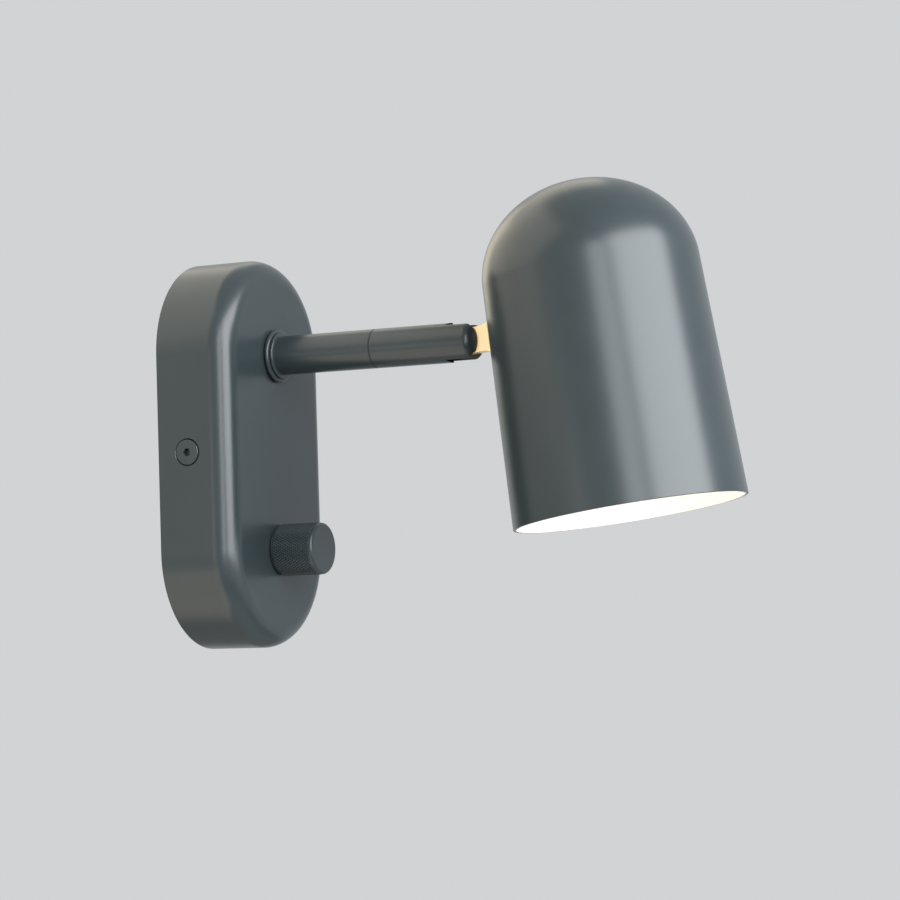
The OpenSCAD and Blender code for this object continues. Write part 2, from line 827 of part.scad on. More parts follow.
module knuckle() {
    color(brass) difference() {
        union() {
            knuckle_frame() {
                across(knuckle_t) circle(knuckle_r);
                rod(shade_stud_d, knuckle_l - foot_lip, knuckle_stud_end);
            }
            difference() {
                knuckle_frame() knuckle_foot();
                shade_frame() shade_form(shade_d / 2, dome_out);
            }
        }
        knuckle_frame() {
            rotate([0, 90, 0]) rod(hinge_d + 2 * run_gap, -knuckle_t, knuckle_t);
            across(pocket_w) difference() {
                translate([-knuckle_r - cut, -neck_h])
                    square([knuckle_r + cut + pocket_front, 2 * neck_h]);
                circle(boss_r);
                translate([0, -neck_h - cut])
                    square([pocket_front + cut, neck_h + cut - hinge_d / 2 - boss_wall / 2]);
            }
            rod(neck_bore, pocket_front - cut, knuckle_l);
            rod(knuckle_stud_bore, knuckle_l, knuckle_stud_end + cut);
        }
    }
}

// Shade

module shade_form(rim_r, dome) {
    rotate_extrude() polygon(concat(shell_points(rim_r, dome, 18), [[0, 0]]));
}

module shade() {
    inner_r = shade_d / 2 - shade_wall / cos(shade_taper);
    color(paint) difference() {
        shade_frame() difference() {
            shade_form(shade_d / 2, dome_out);
            translate([0, 0, -cut]) cylinder(r1 = inner_r + cut * tan(shade_taper),
                r2 = inner_r, h = cut);
            shade_form(inner_r, dome_in);
        }
        knuckle_frame() rod(shade_hole_d, knuckle_l - 3 * cut, knuckle_l + 3 * cut);
    }
}

// Spacer between the round inside of the shade and the flat bracket
module saddle_washer() {
    inner_r = shade_d / 2 - shade_wall / cos(shade_taper);
    color(nylon) intersection() {
        knuckle_frame() sleeve(saddle_d, shade_hole_d, knuckle_l, flange_a);
        shade_frame() shade_form(inner_r, dome_in);
    }
}

// A point of the bracket's flange, given its place along the shade's wall and its depth
function flange_point(along, depth) = [
    entry_up + along * cos(shade_taper) - depth * sin(shade_taper),
    entry_r - along * sin(shade_taper) - depth * cos(shade_taper)
];

// A bent strip, drawn as (height, distance from the shade's axis)
module holder_bracket() {
    top = holder_seat_up + holder_bracket_t;
    front = shade_wall + saddle_t;
    back = front + holder_bracket_t;
    color(steel) difference() {
        shade_frame() across(holder_bracket_w) polygon([
            flange_point(-flange_below, front),
            flange_point(flange_above, front),
            [top, holder_bend_r],
            [top, -holder_reach],
            [holder_seat_up, -holder_reach],
            [holder_seat_up, holder_bend_r - holder_bracket_t],
            flange_point(flange_above - holder_bracket_t, back),
            flange_point(-flange_below, back)
        ]);
        knuckle_frame() rod(shade_hole_d, flange_a - cut, flange_a + 3 * cut);
        shade_frame() rod(holder_nipple_d + 2 * seat_gap, holder_seat_up - cut, top + cut);
    }
}

module stud_nut() {
    start = flange_a + holder_bracket_t;
    color(brass) knuckle_frame() difference() {
        hexagon(nut_flats_share * shade_stud_d, start, start + stud_nut_t);
        rod(shade_stud_d + 2 * thread_gap, start - cut, start + stud_nut_t + cut);
    }
}

// Lamp holder

module holder_nipple() {
    top = holder_seat_up + holder_bracket_t + holder_nut_t;
    color(steel) shade_frame()
        sleeve(holder_nipple_d, holder_nipple_bore, holder_top - holder_roof_t, top);
}

module holder_nut() {
    start = holder_seat_up + holder_bracket_t;
    color(steel) shade_frame() difference() {
        hexagon(nut_flats_share * holder_nipple_d, start, start + holder_nut_t);
        rod(holder_nipple_d + 2 * thread_gap, start - cut, start + holder_nut_t + cut);
    }
}

module holder_cap() {
    cap_d = holder_d - 2 * holder_t;
    color(black) shade_frame() difference() {
        union() {
            rod(cap_d, holder_mid, holder_top);
            rod(holder_d, holder_mid, holder_mid + holder_t);
        }
        rod(cap_d - 2 * holder_t, holder_mid - cut, holder_top - holder_roof_t);
        rod(holder_nipple_d + 2 * thread_gap, holder_top - holder_roof_t - cut, holder_top + cut);
        translate([0, cap_d / 2, holder_mid + lead_hole_up]) rotate([90, 0, 0])
            cylinder(d = lead_hole_d, h = 4 * holder_t, center = true);
    }
}

module holder_skirt() {
    color(black) shade_frame() difference() {
        rod(holder_d, holder_rim, holder_mid);
        rod(holder_d - 2 * holder_t, holder_rim + holder_roof_t, holder_mid + cut);
        rod(holder_mouth_d, holder_rim - cut, holder_mid);
    }
}

// Screw shell with a flange that is trapped between the two halves
module holder_shell() {
    bore = holder_shell_d - 2 * holder_shell_t;
    color(brass) shade_frame() difference() {
        union() {
            rod(holder_shell_d, cap_bottom + clear_gap, holder_mid);
            rod(holder_d - 2 * holder_t - 2 * seat_gap, holder_mid - holder_t, holder_mid);
        }
        rod(bore, cap_bottom - cut, holder_mid + cut);
    }
}

// Insulating bridge with the sprung centre contact on it
module holder_contact() {
    bridge_d = holder_d - 4 * holder_t - 2 * seat_gap;
    color(brass) shade_frame() {
        rod(bridge_d, holder_mid + seat_gap, holder_mid + holder_t);
        rod(tip_d, bulb_top + seat_gap, holder_mid + holder_t);
    }
}

// Bulb

module bulb_globe() {
    r = globe_d / 2;
    color(white) shade_frame() difference() {
        translate([0, 0, globe_up]) sphere(r);
        translate([0, 0, globe_up]) sphere(r - globe_t);
        translate([0, 0, globe_up + globe_cut]) cylinder(r = globe_d, h = globe_d);
    }
}

module bulb_collar() {
    mouth_r = sqrt(pow(globe_d / 2, 2) - pow(globe_cut, 2));
    start = globe_up + globe_cut;
    color(white) shade_frame() difference() {
        translate([0, 0, start]) cylinder(r1 = mouth_r, d2 = bulb_collar_d, h = cap_bottom - start);
        translate([0, 0, start + 2 * globe_t])
            cylinder(r1 = mouth_r - 4 * globe_t, d2 = bulb_collar_d / 2,
                h = cap_bottom - start - 3 * globe_t);
    }
}

module led_board() {
    start = globe_up + globe_cut;
    color(white) shade_frame() {
        rod(2 * board_r, start - board_t, start);
        for (i = [0:led_count - 1]) rotate([0, 0, 360 * i / led_count])
            translate([led_ring_share * board_r - led_w / 2, -led_w / 2, start - board_t - led_t])
                cube([led_w, led_w, led_t]);
    }
}

module bulb_cap() {
    color(steel) shade_frame() rod(bulb_cap_d, cap_bottom, cap_top);
}

module bulb_insulator() {
    color(black) shade_frame() translate([0, 0, cap_top])
        cylinder(d1 = bulb_cap_d, d2 = tip_d, h = insulator_h);
}

module bulb_tip() {
    color(steel) shade_frame() rod(tip_d, cap_top + insulator_h, bulb_top);
}

// Leads, drawn in the frame of the piece that holds them

module lead_pair() {
    for (side = [-1, 1]) translate([side * lead_x, 0, 0]) children();
}

// From the terminal block, through the stud and the arm, to the spindle's end
module arm_leads() {
    block_y = block_up + block_h / 4 - arm_up;
    wire_out = bracket_t + block_out / 2;
    color(white) arm_frame() for (side = [-1, 1]) tube([
        [side * block_pole, block_y, wire_out],
        [side * block_pole, block_y + block_h / 2, wire_out],
        [side * block_pole * 0.8, block_y + block_h * 0.9, wire_out + lead_d],
        [side * lead_x * 2, -lead_d, stud_end - 2 * lead_d],
        [side * lead_x, 0, stud_end],
        [side * lead_x, 0, stud_end + stud_d],
        [side * lead_x, 0, spindle_end - stud_d],
        [side * lead_x, 0, spindle_end]
    ], lead_d);
}

module dimmer_leads() {
    block_y = block_up - block_h / 4;
    wire_out = bracket_t + block_out / 2;
    case_y = dimmer_w / 2 - knob_down;
    case_out = dimmer_face - dimmer_t / 2;
    color(white) wall_frame() for (side = [-1, 1]) tube([
        [side * block_pole, block_y, wire_out],
        [side * block_pole, block_y - block_h / 2, wire_out],
        [side * block_pole, (block_y + case_y) / 2, (wire_out + case_out) / 2],
        [side * block_pole, case_y + block_h / 3, case_out],
        [side * block_pole, case_y, case_out]
    ], lead_d);
}

// From the tag under the earth screw to the tag under the arm's washer
module earth_lead() {
    low_out = bracket_t + lead_d / 2 + seat_gap;
    high_out = cavity_out - arm_washer_t - earth_tag_t;
    end_out = high_out - seat_gap;
    low_up = earth_up + earth_tag_d / 2;
    high_up = arm_up + arm_washer_d / 2;
    color("#7fae3c") wall_frame() {
        tube([
            [earth_x, low_up - clear_gap, low_out],
            [earth_x, low_up + lead_d, low_out + clear_gap],
            [earth_x, low_up + 4 * lead_d, low_out + 2 * lead_d],
            [earth_x * 0.8, (low_up + high_up) / 2 + 5 * lead_d, (low_out + high_out) / 2],
            [earth_x * 0.2, high_up + 4 * lead_d, end_out - 2 * lead_d],
            [0, high_up + lead_d, end_out - clear_gap],
            [0, high_up - clear_gap, end_out]
        ], lead_d);
        translate([earth_x, earth_up, 0])
            sleeve(earth_tag_d, earth_thread_d, bracket_t, bracket_t + earth_tag_t);
        translate([0, arm_up, 0])
            sleeve(arm_washer_d, stud_hole_d, high_out, high_out + earth_tag_t);
    }
}

// Free length between the spindle and the top of the knuckle's boss
module joint_leads() {
    rise = lead_wrap_r;
    free_l = pin_out - slot_root_r - spindle_end;
    color(white) arm_frame() lead_pair() tube([
        [0, 0, spindle_end],
        [0, 0, spindle_end + free_l * 0.13],
        [0, rise * 0.2, spindle_end + free_l * 0.5],
        [0, rise * 0.6, pin_out - slot_root_r],
        [0, rise * 0.93, pin_out - slot_root_r / 2],
        [0, rise, pin_out - lead_d / 2],
        [0, rise, pin_out]
    ], lead_d);
}

// From the top of the boss, through the knuckle and the stud, to the lamp holder
module shade_leads() {
    r = lead_wrap_r;
    pitch = tongue_pitch;
    cap_r = holder_d / 2 - 2 * holder_t;
    hole_up = holder_mid + lead_hole_up;
    // The holder's side hole, seen from the knuckle: distance along it and height
    along = knuckle_l + (entry_r - cap_r) * cos(shade_taper);
    up = hole_up - entry_up;
    // It starts over the pin and runs on along the arm before it dips
    start = [0, r * cos(pitch), r * sin(pitch)];
    ahead = [0, -sin(pitch), cos(pitch)];
    color(white) knuckle_frame() lead_pair() tube([
        start,
        start + lead_d / 2 * ahead,
        [0, r * 0.72, r * 0.74],
        [0, r * 0.25, r * 1.25],
        [0, 0, pocket_front + lead_d],
        [0, 0, foot_start + 2 * lead_d],
        [0, 0, knuckle_stud_end - lead_d],
        [0, 0, knuckle_stud_end + lead_d],
        [0, up * 0.25, knuckle_stud_end + 4 * lead_d],
        [0, up * 0.7, along - 4 * lead_d],
        [0, up, along - 2 * lead_d],
        [0, up, along + lead_d]
    ], lead_d);
}

wall_bracket();
tab_nuts();
cable_grommet();
earth_screw();
terminal_block();
terminal_screws();
block_screw();
housing();
side_screws();
dimmer_case();
dimmer_washer();
dimmer_nut();
dimmer_leads();
earth_lead();
arm_collar();
inner_arm();
arm_washer();
arm_nut();
swivel_spindle();
swivel_washer();
stop_pin();
arm_leads();
outer_arm();
swivel_ring();
hinge_screw();
hinge_washers();
joint_leads();
knuckle();
shade();
saddle_washer();
holder_bracket();
stud_nut();
shade_leads();
holder_nipple();
holder_nut();
holder_cap();
holder_skirt();
holder_shell();
holder_contact();
bulb_globe();
bulb_collar();
bulb_cap();
bulb_insulator();
bulb_tip();
led_board();
dimmer_shaft();
knob();
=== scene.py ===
import bmesh
import bpy
import math
from mathutils import Matrix, Vector


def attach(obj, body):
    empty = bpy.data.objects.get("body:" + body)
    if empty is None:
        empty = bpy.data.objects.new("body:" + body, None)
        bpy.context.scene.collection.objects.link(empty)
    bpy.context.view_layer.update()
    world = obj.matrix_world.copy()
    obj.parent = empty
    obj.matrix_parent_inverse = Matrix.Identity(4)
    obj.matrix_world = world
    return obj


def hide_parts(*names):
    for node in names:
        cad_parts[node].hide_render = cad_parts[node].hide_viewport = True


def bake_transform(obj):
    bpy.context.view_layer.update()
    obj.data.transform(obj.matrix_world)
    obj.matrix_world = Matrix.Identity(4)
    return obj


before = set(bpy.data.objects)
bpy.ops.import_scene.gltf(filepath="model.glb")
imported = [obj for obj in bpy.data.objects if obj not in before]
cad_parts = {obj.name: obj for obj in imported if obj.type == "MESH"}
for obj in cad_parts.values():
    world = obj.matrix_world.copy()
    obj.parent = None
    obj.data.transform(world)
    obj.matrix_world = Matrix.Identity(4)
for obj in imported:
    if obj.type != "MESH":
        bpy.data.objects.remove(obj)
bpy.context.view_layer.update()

# Camera
# A long lens stands a little below the lamp, on its left and in front of the wall.
scene = bpy.context.scene
scene.view_settings.view_transform = "Standard"
lens = bpy.data.cameras.new("camera")
lens.sensor_width = 36
lens.lens = 108.5
lens.clip_start = 0.05
lens.clip_end = 30
camera = bpy.data.objects.new("camera", lens)
scene.collection.objects.link(camera)
camera_right = Vector((0.44213, -0.89642, -0.03107))
camera_up = Vector((-0.03316, -0.05096, 0.99815))
camera_back = camera_right.cross(camera_up)
camera_spot = Vector((-0.97123, -0.58871, -0.05941))
camera.matrix_world = Matrix.Translation(camera_spot) @ Matrix(
    (camera_right, camera_up, camera_back)).transposed().to_4x4()
scene.camera = camera

# Studio
# A pale round floor well below the lamp, a pale even background and a little light from all
# round, a large cool soft light in front, a large warm one behind, and small ones at the sides.


def linear(hex_colour):
    """sRGB hex to the linear colour that a shader takes."""
    share = [int(hex_colour[i:i + 2], 16) / 255 for i in (1, 3, 5)]
    return [c / 12.92 if c <= 0.04045 else ((c + 0.055) / 1.055) ** 2.4 for c in share] + [1]


def add(tree, kind, inputs=None, **settings):
    """Adds a shader node. An input that is a socket is linked, and any other is set."""
    new = tree.nodes.new("ShaderNode" + kind)
    for name, value in settings.items():
        setattr(new, name, value)
    for name, value in (inputs or {}).items():
        if isinstance(value, bpy.types.NodeSocket):
            tree.links.new(value, new.inputs[name])
        else:
            new.inputs[name].default_value = value
    return new


def new_material(name):
    """A new material with an empty tree."""
    made = bpy.data.materials.new(name)
    made.use_nodes = True
    made.node_tree.nodes.clear()
    return made, made.node_tree


def coat(tree, inputs):
    """Ends a material's tree with one principled shader that takes these inputs."""
    shader = add(tree, "BsdfPrincipled", inputs)
    add(tree, "OutputMaterial", {"Surface": shader.outputs[0]})


background = "#D1D3D5"
ambient = "#EDF3FF"
ambient_strength = 0.15
world = bpy.data.worlds.new("studio")
world.use_nodes = True
scene.world = world
tree = world.node_tree
tree.nodes.clear()
ray = add(tree, "LightPath")
seen = add(tree, "Math", {0: ray.outputs["Is Camera Ray"], 1: ray.outputs["Is Glossy Ray"]},
           operation="MAXIMUM")
seen = add(tree, "Math", {0: seen.outputs[0], 1: ray.outputs["Is Transmission Ray"]},
           operation="MAXIMUM")
shown = add(tree, "Background", {"Color": linear(background), "Strength": 1})
light = add(tree, "Background", {"Color": linear(ambient), "Strength": ambient_strength})
either = add(tree, "MixShader", {0: seen.outputs[0], 1: light.outputs[0], 2: shown.outputs[0]})
add(tree, "OutputWorld", {"Surface": either.outputs[0]})

floor_round = 3.2
floor_spot = (0, -0.1, -1.7)
floor_bm = bmesh.new()
bmesh.ops.create_circle(floor_bm, cap_ends=True, segments=96, radius=floor_round,
                        matrix=Matrix.Translation(floor_spot))
floor_mesh = bpy.data.meshes.new("floor")
floor_bm.to_mesh(floor_mesh)
floor_bm.free()
floor = bpy.data.objects.new("floor", floor_mesh)
scene.collection.objects.link(floor)
floor_paint, tree = new_material("matt pale studio floor")
coat(tree, {"Base Color": linear("#D6D8DA"), "Roughness": 0.9})
floor_mesh.materials.append(floor_paint)

lamp_middle = Vector((0, -0.12, 0.02))
far = 1.6
near = 0.9


def softbox(name, azimuth, elevation, distance, width, height, power, hex_colour):
    """A rectangular soft light that faces the lamp's middle: degrees, metres and watts."""
    light = bpy.data.lights.new(name, "AREA")
    light.shape = "RECTANGLE"
    light.size = width
    light.size_y = height
    light.energy = power
    light.color = linear(hex_colour)[:3]
    lamp = bpy.data.objects.new(name, light)
    scene.collection.objects.link(lamp)
    lamp.visible_camera = False
    a, e = math.radians(azimuth), math.radians(elevation)
    away = Vector((math.sin(a) * math.cos(e), -math.cos(a) * math.cos(e), math.sin(e)))
    turn = away.to_track_quat("Z", "Y").to_matrix().to_4x4()
    lamp.matrix_world = Matrix.Translation(lamp_middle + distance * away) @ turn


softbox("front light", -12, 18, far, 1.85, 1.4, 68, "#F9FBFF")
softbox("side light", -59, 12, far, 0.5, 1.1, 10, "#F7F9FF")
softbox("low side light", -112, -4, far, 0.45, 0.45, 1.1, "#FFF6EC")
softbox("low back light", -126, -44, near, 0.8, 0.8, 2.9, "#FFF2DE")
softbox("back light", -160, 35, far, 2.4, 1.8, 19, "#FFF3DD")
softbox("back right light", 146, 20, far, 0.6, 0.9, 3.2, "#FFF2D0")
softbox("back high light", 125, 46, far, 0.8, 0.7, 2, "#FFF2D8")

# Wall bracket
# A pressed and zinc-plated steel cross on the wall, with side tabs, clinch nuts and slots.
millimetres = Matrix.Diagonal((0.001, 0.001, 0.001, 1))
wall_place = Matrix.Rotation(math.radians(90), 4, "X")


def dress(material, *nodes):
    """Gives a material to CAD nodes that are shown as they are."""
    for name in nodes:
        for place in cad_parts[name].material_slots:
            place.material = material


def grain(size):
    """Scale of a pattern on Object coordinates whose features are size millimetres apart."""
    return 1000 / size


def noise(tree, size, detail, stretch=None):
    """Noise on Object coordinates with features this many millimetres apart, or drawn out."""
    at = add(tree, "TexCoord").outputs["Object"]
    if stretch:
        at = add(tree, "Mapping", {"Vector": at, "Scale": stretch}).outputs[0]
    return add(tree, "TexNoise", {"Vector": at, "Scale": grain(size),
                                  "Detail": detail}).outputs[0]


def shades(tree, factor, first, second):
    """A colour between two hex colours. The mix takes its factor at 0 and its colours at 6, 7."""
    return add(tree, "Mix", {0: factor, 6: linear(first), 7: linear(second)},
               data_type="RGBA").outputs[2]


def between(tree, factor, low, high):
    """A value between two others."""
    return add(tree, "MapRange", {"Value": factor, "To Min": low, "To Max": high}).outputs[0]


def relief(tree, height, strength, depth):
    """A bumped normal whose relief is this many millimetres deep."""
    return add(tree, "Bump", {"Height": height, "Strength": strength,
                              "Distance": depth / 1000}).outputs[0]


# Zinc-plated steel: bright grey with a faint spangle, a little dull
zinc, tree = new_material("zinc-plated steel")
spangle = noise(tree, 1.4, 3)
coat(tree, {"Base Color": shades(tree, spangle, "#A9ACB0", "#C6C8C7"), "Metallic": 1,
            "Roughness": between(tree, spangle, 0.26, 0.44)})
dress(zinc, "wall_bracket", "tab_nuts")

# Cable grommet
# A moulded rubber ring that lines the bracket's hole for the mains cable. The thin washer that
# shows as the line round the arm has the same dark and dull finish.
# EPDM rubber: near black, dull, slightly dusty
rubber, tree = new_material("EPDM rubber")
dust = noise(tree, 0.8, 4)
coat(tree, {"Base Color": shades(tree, dust, "#1B1C1D", "#2C2D2E"), "Roughness": 0.7,
            "Normal": relief(tree, dust, 0.3, 0.1)})
dress(rubber, "cable_grommet", "swivel_washer")

# Earth screw, terminal block and its screws
# A brass earth screw in the bracket, and a two-pole screw terminal in clear-white plastic.
# Turned brass: yellow, fine turning marks that blur its gloss
brass, tree = new_material("turned brass")
marks = noise(tree, 0.5, 4)
coat(tree, {"Base Color": shades(tree, marks, "#DDC088", "#EBD39C"), "Metallic": 1,
            "Roughness": between(tree, marks, 0.2, 0.36)})
dress(brass, "earth_screw", "terminal_screws")
# Polyamide terminal block: milky white, faintly see-through, moulded with a soft gloss
milky, tree = new_material("milky polyamide")
cloud = noise(tree, 3, 2)
coat(tree, {"Base Color": shades(tree, cloud, "#D9DAD3", "#E9EAE4"), "Roughness": 0.38,
            "Subsurface Weight": 0.3, "Subsurface Scale": 0.002,
            "Subsurface Radius": (1, 1, 0.9)})
dress(milky, "terminal_block")
dress(zinc, "block_screw")

# Housing
# A die-cast pill-shaped cover, open at the back, with a full round to its front edge. It is
# powder-coated, and two screws through its sides hold it on the bracket's tabs.
housing_round = 40
housing_run = 80
housing_out = 33
housing_edge = 9
housing_wall = 3
side_screw_out = 13.5
arm_up = 40
stud_hole_round = 5.1


def pill(radius, run, start, end, edge=0, steps=96):
    """A solid of pill outline, long in y and pushed out along z, with a round to its far edge."""
    bm = bmesh.new()
    bmesh.ops.create_circle(bm, segments=steps, radius=radius)
    bmesh.ops.delete(bm, geom=[v for v in bm.verts if v.co.y < -0.01], context="VERTS")
    bmesh.ops.translate(bm, verts=bm.verts, vec=(0, run / 2, start))
    bmesh.ops.mirror(bm, geom=bm.verts[:] + bm.edges[:], axis="Y", merge_dist=0)
    for side in (-1, 1):
        bm.edges.new([v for v in bm.verts
                      if v.co.x * side > radius - 0.01 and abs(abs(v.co.y) - run / 2) < 0.01])
    face = bmesh.ops.contextual_create(bm, geom=bm.edges[:])["faces"]
    pushed = bmesh.ops.extrude_face_region(bm, geom=face)["geom"]
    front = [v for v in pushed if isinstance(v, bmesh.types.BMVert)]
    bmesh.ops.translate(bm, verts=front, vec=(0, 0, end - start))
    bmesh.ops.recalc_face_normals(bm, faces=bm.faces)
    if edge:
        round_off(bm, lambda v: abs(v.z - end) < 0.01, edge, 14)
    return bm


def round_off(bm, where, size, segments=3):
    """Rounds the sharp edges whose two ends both lie where the test says."""
    sharp = [e for e in bm.edges if where(e.verts[0].co) and where(e.verts[1].co)
             and len(e.link_faces) == 2 and e.calc_face_angle() > 0.5]
    bmesh.ops.bevel(bm, geom=sharp, offset=size, segments=segments, profile=0.5,
                    affect="EDGES", material=-1)


def turned(outline, steps=64, place=None):
    """Spins an outline of (radius, height) points round the z axis into a closed solid."""
    bm = bmesh.new()
    points = [bm.verts.new((r, 0, z)) for r, z in outline]
    closed = points + points[:1] if outline[0][0] and outline[-1][0] else points
    edges = [bm.edges.new(pair) for pair in zip(closed, closed[1:])]
    bmesh.ops.spin(bm, geom=points + edges, cent=(0, 0, 0), axis=(0, 0, 1),
                   angle=2 * math.pi, steps=steps, use_merge=True)
    bmesh.ops.remove_doubles(bm, verts=bm.verts, dist=0.001)
    bmesh.ops.recalc_face_normals(bm, faces=bm.faces)
    if place:
        bmesh.ops.transform(bm, matrix=place, verts=bm.verts)
    return bm


def rod(radius, start, end, steps=64, place=None):
    """A plain round rod along z, for cutting holes and joining studs."""
    return turned([(0, start), (radius, start), (radius, end), (0, end)], steps, place)


def side_screw_place(side):
    """Where a side screw's head meets the housing's side, with z outwards."""
    return Matrix.Translation((side * housing_round, 0, side_screw_out)) @ Matrix.Rotation(
        math.radians(90 * side), 4, "Y")


def carve(bm, cutter, operation="DIFFERENCE"):
    """Cuts one closed shape with another, or joins them, by a Boolean modifier."""
    pair = []
    for shape in (bm, cutter):
        mesh = bpy.data.meshes.new("carving")
        shape.to_mesh(mesh)
        shape.free()
        pair.append(bpy.data.objects.new("carving", mesh))
        scene.collection.objects.link(pair[-1])
    cutting = pair[0].modifiers.new("carve", "BOOLEAN")
    cutting.object = pair[1]
    cutting.operation = operation
    cutting.solver = "EXACT"
    left = bmesh.new()
    left.from_object(pair[0], bpy.context.evaluated_depsgraph_get())
    for shape in pair:
        mesh = shape.data
        bpy.data.objects.remove(shape)
        bpy.data.meshes.remove(mesh)
    bmesh.ops.remove_doubles(left, verts=left.verts, dist=0.001)
    return left


def piece(name, bm, place, body, slot, nodes, *materials):
    """Puts a shape drawn in millimetres in its place, shades it and rides it on its body."""
    bmesh.ops.transform(bm, matrix=millimetres @ place, verts=bm.verts)
    for face in bm.faces:
        face.smooth = True
    for edge in bm.edges:
        edge.smooth = len(edge.link_faces) == 2 and edge.calc_face_angle() < 0.6
    mesh = bpy.data.meshes.new(name)
    bm.to_mesh(mesh)
    bm.free()
    for material in materials:
        mesh.materials.append(material)
    made = bpy.data.objects.new(name, mesh)
    scene.collection.objects.link(made)
    even = made.modifiers.new("even shading", "WEIGHTED_NORMAL")
    even.keep_sharp = True
    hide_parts(*nodes)
    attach(made, body)


# Satin polyester powder coat: slate grey-green, even, with a very fine orange peel that
# spreads its soft highlights
slate, tree = new_material("slate satin powder coat")
peel = noise(tree, 0.45, 2)
patch = noise(tree, 14, 2)
coat(tree, {"Base Color": shades(tree, patch, "#2D3638", "#303A3C"),
            "Roughness": between(tree, patch, 0.27, 0.31),
            "Normal": relief(tree, peel, 0.25, 0.03)})

housing = pill(housing_round, housing_run, 0, housing_out, housing_edge)
inside = pill(housing_round - housing_wall, housing_run, -1, housing_out - housing_wall,
              housing_edge - housing_wall)
housing = carve(housing, inside)
# Through the front wall, for the arm's stud and the dimmer's bush
for up in (-arm_up, arm_up):
    housing = carve(housing, rod(stud_hole_round, housing_out - 8, housing_out + 7,
                                 place=Matrix.Translation((0, up, 0))))
# From the threaded hole up: the countersink, its short straight wall, and a small chamfer
recess = [(0, -6), (2.6, -6), (2.6, -2.8), (5.4, -0.6), (5.4, -0.3), (6.7, 1), (0, 1)]
for side in (-1, 1):
    housing = carve(housing, turned(recess, 48, side_screw_place(side)))
piece("housing_cover", housing, wall_place, "wall", "slate_paint", ["housing"], slate)

# Side screws
# Two countersunk M5 screws with a 3 mm hexagon socket, turned from steel and powder-coated
# with the housing. Their heads stand a little proud of the recesses.
socket_flats = 3
socket_round = socket_flats / 1.732
socket_depth = 1.7
head_top = 0.3
socket_turn = Matrix.Rotation(math.radians(30), 4, "Z")
screw_outline = [(0, -11), (2.5, -11), (2.5, -2.7), (5.1, -0.5), (5.1, head_top), (0, head_top)]
screws = bmesh.new()
for side in (-1, 1):
    head = turned(screw_outline, 48)
    round_off(head, lambda v: v.z > head_top - 0.01, 0.4, 3)
    socket = bmesh.new()
    bmesh.ops.create_cone(socket, cap_ends=True, segments=6, radius1=socket_round,
                          radius2=socket_round, depth=socket_depth + 1,
                          matrix=Matrix.Translation((0, 0, (1 - socket_depth) / 2)))
    head = carve(head, socket)
    bmesh.ops.transform(head, verts=head.verts, matrix=side_screw_place(side) @ socket_turn)
    loose = bpy.data.meshes.new("screw")
    head.to_mesh(loose)
    screws.from_mesh(loose)
    head.free()
    bpy.data.meshes.remove(loose)
piece("side_screw_pair", screws, wall_place, "wall", "slate_paint", ["side_screws"], slate)

# Dimmer
# A moulded dimmer switch that hangs behind the front wall by its threaded bush, washer and nut.
# ABS: black, moulded with a fine spark-eroded grain
black_abs, tree = new_material("black ABS")
spark = noise(tree, 0.3, 3)
coat(tree, {"Base Color": linear("#1D1E20"), "Normal": relief(tree, spark, 0.35, 0.05),
            "Roughness": between(tree, spark, 0.4, 0.55)})
dress(black_abs, "dimmer_case")
dress(zinc, "dimmer_washer", "dimmer_nut", "dimmer_shaft")

# Leads inside
# Two-core leads and one earth lead, stranded copper with a skin of soft PVC.
# White PVC: soft sheen, very faintly clouded
white_pvc, tree = new_material("white PVC")
drawn = noise(tree, 1.2, 2)
coat(tree, {"Base Color": shades(tree, drawn, "#D6D6D1", "#E6E6E1"), "Roughness": 0.45})
dress(white_pvc, "dimmer_leads", "arm_leads", "shade_leads")
# Green and yellow PVC: bands of both colours
striped, tree = new_material("green and yellow PVC")
at = add(tree, "TexCoord").outputs["Object"]
bands = add(tree, "TexWave", {"Vector": at, "Scale": grain(20), "Distortion": 0.4},
            bands_direction="X")
which = add(tree, "MapRange", {"Value": bands.outputs["Fac"], "From Min": 0.45,
                               "From Max": 0.55})
coat(tree, {"Base Color": shades(tree, which.outputs[0], "#3F8A3B", "#D9C93A"),
            "Roughness": 0.45})
dress(striped, "earth_lead")

# Knob
# A turned aluminium knob with a diamond knurl round its side and a small round to its front
# edge, powder-coated to match. It presses onto the dimmer's flatted shaft.
knob_place = Matrix.Translation((0, 0, -arm_up)) @ wall_place
knob_round = 10.75
knurl_depth = 0.5
knob_back = 33.6
knob_front = 53
knurl_start = 34.1
knurl_end = 51.8
knurl_columns = 60
knurl_rows = 9
valley = knob_round - knurl_depth
# From the knurl to the middle of the front, and round the back into the shaft's hole
front_outline = [(valley, knurl_end), (10.55, 51.92), (10.54, 52.1), (10.42, 52.42),
                 (10.15, 52.72), (9.75, 52.92), (9.3, knob_front), (0, knob_front)]
back_outline = [(valley, knurl_start), (valley, 33.9), (10.2, knob_back), (8.7, knob_back),
                (8.7, 38.3), (3.02, 38.3), (3.02, 49.8), (0, 49.8)]

knob = bmesh.new()
line = [knob.verts.new((valley, 0, knurl_start + (knurl_end - knurl_start) * i / knurl_rows))
        for i in range(knurl_rows + 1)]
edges = [knob.edges.new(pair) for pair in zip(line, line[1:])]
bmesh.ops.spin(knob, geom=line + edges, cent=(0, 0, 0), axis=(0, 0, 1), angle=2 * math.pi,
               steps=knurl_columns, use_merge=True)
bmesh.ops.remove_doubles(knob, verts=knob.verts, dist=0.001)
bmesh.ops.recalc_face_normals(knob, faces=knob.faces)
if knob.faces[0].normal.dot(knob.faces[0].calc_center_median() * Vector((1, 1, 0))) < 0:
    bmesh.ops.reverse_faces(knob, faces=knob.faces)
